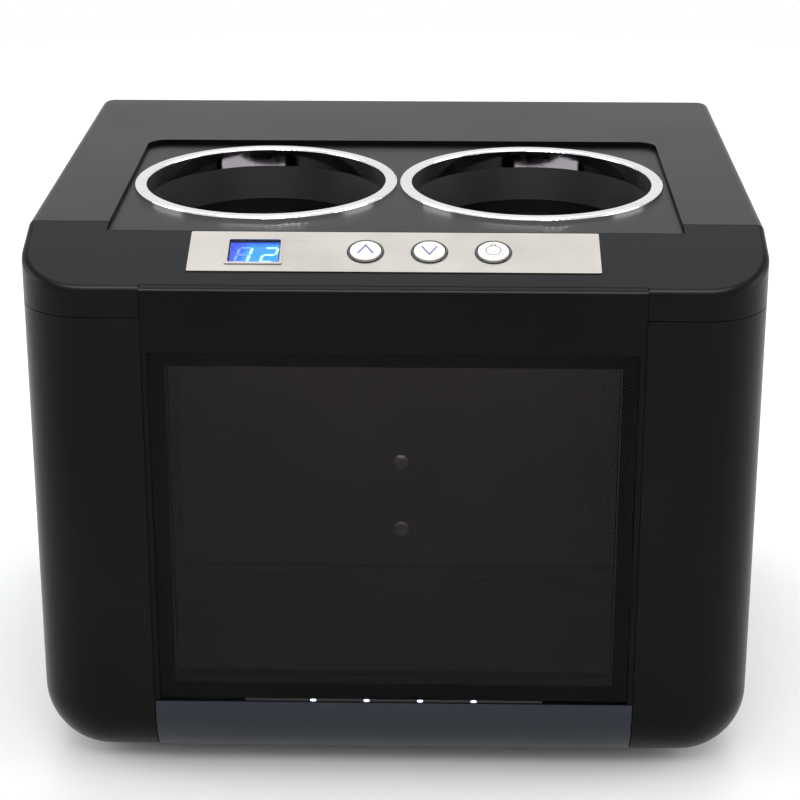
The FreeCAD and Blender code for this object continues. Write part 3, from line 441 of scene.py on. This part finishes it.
def inkFinish(name, hexCode):
    # pad-printed ink: flat, a little uneven where the pad lifted
    return grainedFinish(name, {
        "tones": (hexCode, hexCode), "driftMm": 1.5, "grainMm": 0.3, "speck": 0.12, "rough": (0.35, 0.5),
        "dentMm": 0.002, "shader": {}})[0]


blueInk, greyInk = inkFinish("padPrintedBlueInk", signs["ink"]), inkFinish("padPrintedGreyInk", signs["greyInk"])


def capTop(nodeName):
    low, high = slopeBox(nodeName)
    return Vector(((low.x + high.x) / 2, (low.y + high.y) / 2)), high.z


def addChevron(nodeName, pieceName, up):
    centre, top = capTop(nodeName)
    half, high = signs["chevronHalfMm"] * mm, signs["chevronHighMm"] * mm
    foot, apex = (-0.4 * high, 0.6 * high) if up else (0.5 * high, -0.5 * high)
    path = [centre + Vector(p) for p in ((-half, foot), (0, apex), (half, foot))]
    shape = bmesh.new()
    for outline in strokes(path, signs["lineMm"] * mm):
        flatBar(shape, outline, top - 0.02 * mm, top + signs["proudMm"] * mm)
    pieceFrom(shape, pieceName, blueInk, nodeName, slopeTurn)


addChevron("up_button", "up_arrow", True)
addChevron("down_button", "down_arrow", False)


def addBulb():
    centre, top = capTop("light_button")
    centre = centre + Vector((0, 0.3 * mm))
    shape = bmesh.new()
    radius, count = signs["bulbRadiusMm"] * mm, 40
    ring = [centre + radius * Vector((math.cos(2 * math.pi * i / count), math.sin(2 * math.pi * i / count)))
            for i in range(count)]
    half, high = signs["neckHalfMm"] * mm, signs["neckHighMm"] * mm
    start = math.sqrt(radius ** 2 - half ** 2)
    neck = [centre + Vector(p) for p in (
        (-half, start), (-half, start + 0.35 * high), (-0.7 * half, start + 0.35 * high), (-0.7 * half, start + 0.8 * high),
        (-0.3 * half, start + high), (0.3 * half, start + high), (0.7 * half, start + 0.8 * high),
        (0.7 * half, start + 0.35 * high), (half, start + 0.35 * high), (half, start))]
    line = signs["bulbLineMm"] * mm
    for outline in strokes(ring, line, closed=True) + strokes(neck, line):
        flatBar(shape, outline, top - 0.02 * mm, top + signs["proudMm"] * mm)
    pieceFrom(shape, "bulb_sign", greyInk, "light_button", slopeTurn)
    return centre, top


bulbCentre, bulbTop = addBulb()


# ---- repeated pieces ----

def makeTree(name, inputs):
    tree = bpy.data.node_groups.new(name, "GeometryNodeTree")
    for socketName, kind, value in inputs:
        socket = tree.interface.new_socket(socketName, in_out="INPUT", socket_type=kind)
        if value is not None:
            socket.default_value = value
    tree.interface.new_socket("Geometry", in_out="OUTPUT", socket_type="NodeSocketGeometry")
    return tree


def growPiece(name, tree, values, body, turn=Matrix.Identity(4), mesh=None):
    # runs a tree on a mesh of points, keeps only the plain mesh that it makes
    seed = bpy.data.objects.new(name + "_seed", mesh or bpy.data.meshes.new(name + "_seed"))
    bpy.context.scene.collection.objects.link(seed)
    grower = seed.modifiers.new("grow", "NODES")
    grower.node_group = tree
    for item in tree.interface.items_tree:
        if item.in_out == "INPUT" and item.name in values:
            grower[item.identifier] = values[item.name]
    bpy.context.view_layer.update()
    grown = bpy.data.meshes.new_from_object(seed.evaluated_get(bpy.context.evaluated_depsgraph_get()))
    seed.modifiers.remove(grower)
    bpy.data.objects.remove(seed)
    grown.transform(turn)
    grown.name = name
    piece = bpy.data.objects.new(name, grown)
    bpy.context.scene.collection.objects.link(piece)
    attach(piece, body)
    return piece


def dotsTree():
    # small discs spaced along an arc under the bulb
    tree = makeTree("dotsOnArc", [
        ("Radius", "NodeSocketFloat", 0.004), ("Dots", "NodeSocketInt", 5), ("Step", "NodeSocketFloat", 0.5),
        ("Dot radius", "NodeSocketFloat", 0.0003), ("Height", "NodeSocketFloat", 0.00005),
        ("Finish", "NodeSocketMaterial", None)])
    given = addNode(tree, "NodeGroupInput")
    gaps = addNode(tree, "ShaderNodeMath", {"operation": "SUBTRACT"}, {1: 1.0}, {0: (given, "Dots")})
    sweep = addNode(tree, "ShaderNodeMath", {"operation": "MULTIPLY"}, links={0: (gaps, 0), 1: (given, "Step")})
    half = addNode(tree, "ShaderNodeMath", {"operation": "MULTIPLY"}, {1: -0.5}, {0: (sweep, 0)})
    start = addNode(tree, "ShaderNodeMath", {"operation": "SUBTRACT"}, {1: math.pi / 2}, {0: (half, 0)})
    arc = addNode(tree, "GeometryNodeCurveArc", {"mode": "RADIUS"}, links={
        "Resolution": (given, "Dots"), "Radius": (given, "Radius"), "Start Angle": (start, 0),
        "Sweep Angle": (sweep, 0)})
    dot = addNode(tree, "GeometryNodeMeshCylinder", values={"Vertices": 14},
                  links={"Radius": (given, "Dot radius"), "Depth": (given, "Height")})
    spread = addNode(tree, "GeometryNodeInstanceOnPoints", links={"Points": (arc, "Curve"), "Instance": (dot, "Mesh")})
    real = addNode(tree, "GeometryNodeRealizeInstances", links={"Geometry": (spread, "Instances")})
    dressed = addNode(tree, "GeometryNodeSetMaterial", links={"Geometry": (real, 0), "Material": (given, "Finish")})
    addNode(tree, "NodeGroupOutput", links={0: (dressed, 0)})
    return tree


growPiece("bulb_dots", dotsTree(), {
    "Radius": signs["dotRadiusMm"] * mm, "Dots": signs["dots"], "Step": math.radians(signs["dotStepDegrees"]),
    "Dot radius": signs["dotMm"] / 2 * mm, "Height": 2 * signs["proudMm"] * mm, "Finish": greyInk},
    "light_button", slopeTurn @ Matrix.Translation((bulbCentre.x, bulbCentre.y, bulbTop)))
print("buttons: arrows, bulb and dots")


def clusters(nodeName, reach):
    # boxes of the separate solids in one piece, told apart by how far their corners stand from each other
    found = []
    for vert in nodes[nodeName].data.vertices:
        for low, high in found:
            if all(low[i] - reach < vert.co[i] < high[i] + reach for i in range(3)):
                for i in range(3):
                    low[i], high[i] = min(low[i], vert.co[i]), max(high[i], vert.co[i])
                break
        else:
            found.append((vert.co.copy(), vert.co.copy()))
    return found


def onPointsTree():
    # one small part on every point, each turned about its own axis by a seeded amount
    tree = makeTree("partsOnPoints", [
        ("Points", "NodeSocketGeometry", None), ("Part", "NodeSocketObject", None),
        ("Turn", "NodeSocketFloat", 1.5), ("Seed", "NodeSocketInt", 3), ("Finish", "NodeSocketMaterial", None)])
    given = addNode(tree, "NodeGroupInput")
    part = addNode(tree, "GeometryNodeObjectInfo", links={"Object": (given, "Part")})
    twist = addNode(tree, "FunctionNodeRandomValue", {"data_type": "FLOAT"},
                    links={3: (given, "Turn"), "Seed": (given, "Seed")})
    about = addNode(tree, "ShaderNodeCombineXYZ", links={"Z": (twist, 1)})
    spread = addNode(tree, "GeometryNodeInstanceOnPoints", links={
        "Points": (given, "Points"), "Instance": (part, "Geometry"), "Rotation": (about, "Vector")})
    real = addNode(tree, "GeometryNodeRealizeInstances", links={"Geometry": (spread, "Instances")})
    dressed = addNode(tree, "GeometryNodeSetMaterial", links={"Geometry": (real, 0), "Material": (given, "Finish")})
    addNode(tree, "NodeGroupOutput", links={0: (dressed, 0)})
    return tree


onPoints = onPointsTree()


def turnedPart(name, profile, sides):
    # a closed solid turned about Z from (radius, height) points, first and last on the axis
    shape = bmesh.new()
    rings = []
    for radius, height in profile:
        if radius == 0:
            rings.append([shape.verts.new((0, 0, height))])
        else:
            rings.append([shape.verts.new((radius * math.cos(2 * math.pi * k / sides),
                                           radius * math.sin(2 * math.pi * k / sides), height))
                          for k in range(sides)])
    for lower, upper in zip(rings, rings[1:]):
        for k in range(sides):
            n = (k + 1) % sides
            corners = [lower[k % len(lower)], lower[n % len(lower)], upper[n % len(upper)], upper[k % len(upper)]]
            shape.faces.new(list(dict.fromkeys(corners)))
    bmesh.ops.recalc_face_normals(shape, faces=shape.faces)
    mesh = bpy.data.meshes.new(name)
    shape.to_mesh(mesh)
    shape.free()
    made = bpy.data.objects.new(name, mesh)
    bpy.context.scene.collection.objects.link(made)
    return made


screws = {"headHighMm": 1.8, "crossAcrossMm": 3.4, "crossWideMm": 0.75, "crossDeepMm": 1.0, "shankMm": 1.5,
          "sides": 36}
# which way each set of heads faces, as a turn about X from straight up
facing = {"case_screws": -90, "cold_wall_screws": 90, "foot_screws": 180}


def screwWithCross(radius, length):
    head, shank = screws["headHighMm"] * mm, screws["shankMm"] * mm
    profile = [(0, -length), (shank * 0.7, -length), (shank, -length + 0.8 * mm), (shank, 0), (radius * 0.98, 0),
               (radius, 0.12 * head), (radius, 0.6 * head), (radius * 0.95, 0.8 * head), (radius * 0.84, 0.94 * head),
               (radius * 0.66, head), (0, head)]
    screw = turnedPart("screw_blank", profile, screws["sides"])
    cutter = bmesh.new()
    wide, across, deep = (screws[k] * mm for k in ("crossWideMm", "crossAcrossMm", "crossDeepMm"))
    for reach in ((across / 2, wide / 2), (wide / 2, across / 2)):
        flatBar(cutter, [(x * reach[0], y * reach[1]) for x, y in ((-1, -1), (1, -1), (1, 1), (-1, 1))],
                head - deep, head + 0.5 * mm)
    cutMesh = bpy.data.meshes.new("cross_cutter")
    cutter.to_mesh(cutMesh)
    cutter.free()
    crossCutter = bpy.data.objects.new("cross_cutter", cutMesh)
    bpy.context.scene.collection.objects.link(crossCutter)
    carve = screw.modifiers.new("carve", "BOOLEAN")
    carve.operation, carve.object, carve.solver, carve.use_self = "DIFFERENCE", crossCutter, "EXACT", True
    bpy.context.view_layer.update()
    screw.data = bpy.data.meshes.new_from_object(screw.evaluated_get(bpy.context.evaluated_depsgraph_get()))
    screw.modifiers.clear()
    bpy.data.objects.remove(crossCutter)
    return screw


def growScrews(nodeName, degrees):
    turn = Matrix.Rotation(math.radians(degrees), 4, "X")
    boxes = []
    for low, high in clusters(nodeName, 8 * mm):
        a, b = turn.inverted() @ low, turn.inverted() @ high
        boxes.append((Vector(map(min, a, b)), Vector(map(max, a, b))))
    first = boxes[0]
    radius = (first[1].x - first[0].x) / 2
    length = first[1].z - first[0].z - screws["headHighMm"] * mm
    seats = bpy.data.meshes.new("seats")
    seats.from_pydata([((low.x + high.x) / 2, (low.y + high.y) / 2, high.z - screws["headHighMm"] * mm)
                       for low, high in boxes], [], [])
    part = screwWithCross(radius, length)
    piece = growPiece(nodeName + "_crossed", onPoints, {"Part": part, "Finish": finishes["zincPlatedSteel"]},
                      "case", turn, seats)
    bpy.data.objects.remove(part)
    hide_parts(nodeName)
    return len(boxes)


print("screws:", [growScrews(nodeName, degrees) for nodeName, degrees in facing.items()])

# the painted glints where the lamps' light shows through the pipe
paintedGlints = {"acrossMm": 1.2, "highMm": 0.5, "proudMm": 0.12, "light": "#d4e6ff", "strength": 2.6}


def addPaintedLampGlints():
    # painted glints: small glowing domes on the light pipe's face in front of each lamp, standing in for the lamps'
    # light showing through it
    low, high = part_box("led_lens")
    seats = bpy.data.meshes.new("glint_seats")
    seats.from_pydata([((a.x + b.x) / 2, (low.z + high.z) / 2, -low.y) for a, b in clusters("led_lamps", 4 * mm)],
                      [], [])
    tip = turnedPart("tip", [(0, -0.1 * mm), (1, -0.1 * mm), (1, 0), (0.8, 0.5 * paintedGlints["proudMm"] * mm),
                             (0.45, 0.85 * paintedGlints["proudMm"] * mm), (0, paintedGlints["proudMm"] * mm)], 24)
    for vert in tip.data.vertices:
        vert.co.x, vert.co.y = vert.co.x * paintedGlints["acrossMm"] * mm, vert.co.y * paintedGlints["highMm"] * mm
    growPiece("lamp_tips", onPoints, {"Part": tip, "Turn": 0.0,
                                      "Finish": glowingFinish("paintedLampGlint", paintedGlints["light"], paintedGlints["strength"])},
              "case", Matrix.Rotation(math.radians(90), 4, "X"), seats)
    bpy.data.objects.remove(tip)


addPaintedLampGlints()
print("painted lamp glints")

# ---- camera, light and floor ----

cameraSet = {"at": (0.019, -0.9, 0.475), "pitchDegrees": 19.1, "yawDegrees": 1.2, "lensMm": 97.9, "shiftY": -0.12}
cameraData = bpy.data.cameras.new("camera")
cameraData.lens = cameraSet["lensMm"]
cameraData.shift_y = cameraSet["shiftY"]
camera = bpy.data.objects.new("camera", cameraData)
camera.location = cameraSet["at"]
camera.rotation_euler = (math.radians(90 - cameraSet["pitchDegrees"]), 0, math.radians(cameraSet["yawDegrees"]))
bpy.context.scene.collection.objects.link(camera)
bpy.context.scene.camera = camera

# the floor is a disc that ends where the lamps still light it white, so that low views show no grey band
studio = {"worldLevel": 0.78, "backdropLevel": 1.0, "floor": "#ffffff", "floorRadiusM": 1.35,
          # soft boxes above and behind, above the camera and at each side, and a strip straight above
          "lamps": {"backBox": {"at": (0.0, 0.65, 1.4), "sizeM": (1.3, 1.1), "watts": 8.0, "tint": "#f2f7ff"},
                    "topStrip": {"at": (0.0, -0.4, 1.2), "sizeM": (1.1, 0.32), "watts": 22.0, "tint": "#ffffff",
                                 "glossOnly": True},
                    "frontBox": {"at": (0.0, -1.1, 1.3), "sizeM": (1.1, 0.5), "watts": 5.0, "tint": "#ffffff"},
                    "leftBox": {"at": (-1.3, 0.0, 0.45), "sizeM": (0.8, 0.8), "watts": 6.0, "tint": "#ffffff"},
                    "rightBox": {"at": (1.3, 0.0, 0.45), "sizeM": (0.8, 0.8), "watts": 6.0, "tint": "#ffffff"}}}
for lampName, lamp in studio["lamps"].items():
    lampData = bpy.data.lights.new(lampName, "AREA")
    lampData.shape = "RECTANGLE"
    lampData.size, lampData.size_y = lamp["sizeM"]
    lampData.energy = lamp["watts"]
    lampData.color = linear(lamp["tint"])[:3]
    lampObject = bpy.data.objects.new(lampName, lampData)
    lampObject.location = lamp["at"]
    lampObject.visible_diffuse = not lamp.get("glossOnly", False)   # a gleam along the edges, no more light
    lampObject.rotation_euler = (Vector((0, 0, 0.1)) - Vector(lamp["at"])).to_track_quat("-Z", "Y").to_euler()
    bpy.context.scene.collection.objects.link(lampObject)

world = bpy.data.worlds.new("studio")
bpy.context.scene.world = world
world.use_nodes = True
world.node_tree.nodes.clear()
ray = addNode(world.node_tree, "ShaderNodeLightPath")
seen = addNode(world.node_tree, "ShaderNodeMath", {"operation": "MAXIMUM"},
               links={0: (ray, "Is Camera Ray"), 1: (ray, "Is Glossy Ray")})
seenOrThrough = addNode(world.node_tree, "ShaderNodeMath", {"operation": "MAXIMUM"},
                        links={0: (seen, 0), 1: (ray, "Is Transmission Ray")})
level = addNode(world.node_tree, "ShaderNodeMapRange",
                values={"To Min": studio["worldLevel"], "To Max": studio["backdropLevel"]},
                links={"Value": (seenOrThrough, 0)})
air = addNode(world.node_tree, "ShaderNodeBackground", values={"Color": linear("#ffffff")},
              links={"Strength": (level, "Result")})
addNode(world.node_tree, "ShaderNodeOutputWorld", links={"Surface": (air, "Background")})

floorShape = bmesh.new()
bmesh.ops.create_circle(floorShape, cap_ends=True, segments=128, radius=studio["floorRadiusM"])
floorMesh = bpy.data.meshes.new("floor")
floorShape.to_mesh(floorMesh)
floorShape.free()
floorFinish = grainedFinish("paintedStudioFloor", {
    "tones": (studio["floor"], studio["floor"]), "driftMm": 800, "grainMm": 40, "speck": 0.004,
    "rough": (0.7, 0.8), "dentMm": 0.01, "shader": {"Specular IOR Level": 0.0}})[0]
floorMesh.materials.append(floorFinish)
floor = bpy.data.objects.new("floor", floorMesh)
floor.location.z = -0.0002
bpy.context.scene.collection.objects.link(floor)

bpy.context.scene.view_settings.view_transform = "Standard"
print("camera, light and floor")
